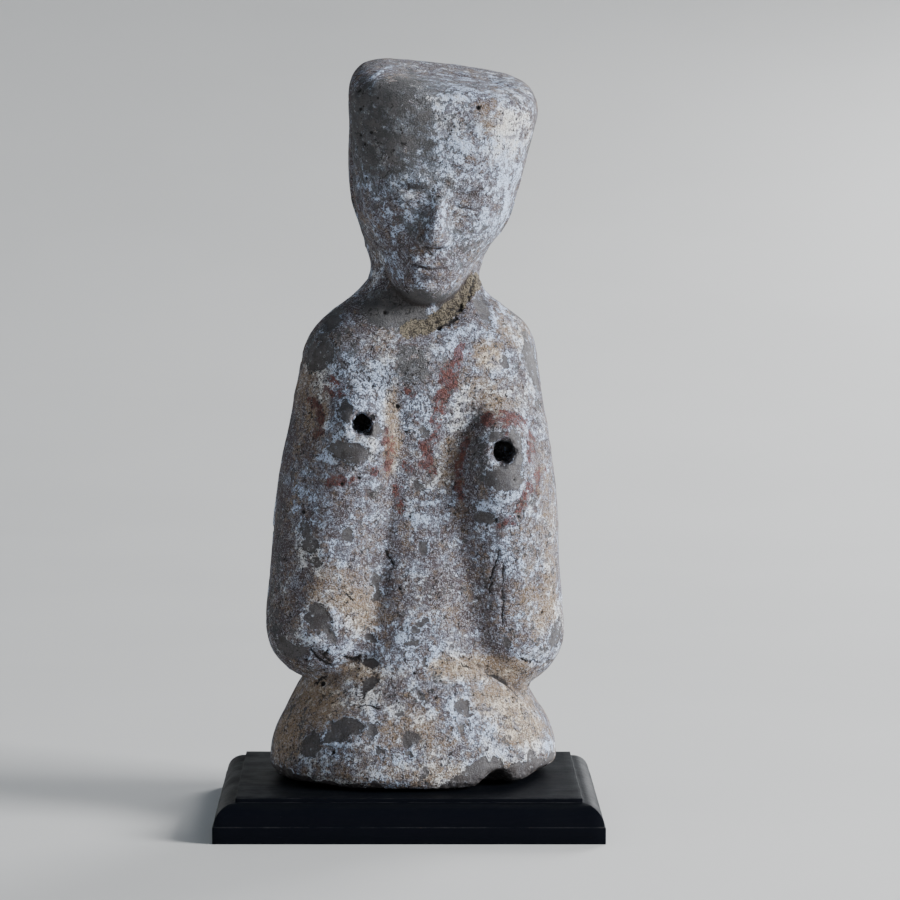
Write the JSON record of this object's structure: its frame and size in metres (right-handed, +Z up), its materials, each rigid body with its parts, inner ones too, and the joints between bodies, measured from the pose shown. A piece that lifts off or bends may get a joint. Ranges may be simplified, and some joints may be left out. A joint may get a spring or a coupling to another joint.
{
  "type": "pottery tomb figure",
  "caption": "Kneeling attendant figure in slipped grey pottery with flat-topped hair, folded forearms and bored fists, worn all over, on a low black moulded wooden stand.",
  "frame": {"origin": "centre of the stand's underside", "axes": "+Z up, the figure faces -Y, +X to the viewer's right"},
  "size_m": [0.1614, 0.1334, 0.3207],
  "materials": {
    "slipped_clay": "matte",
    "black_paint": "satin"
  },
  "bodies": {
    "root": {"pottery_figure": "slipped_clay", "wood_stand": "black_paint"}
  },
  "joints": []
}
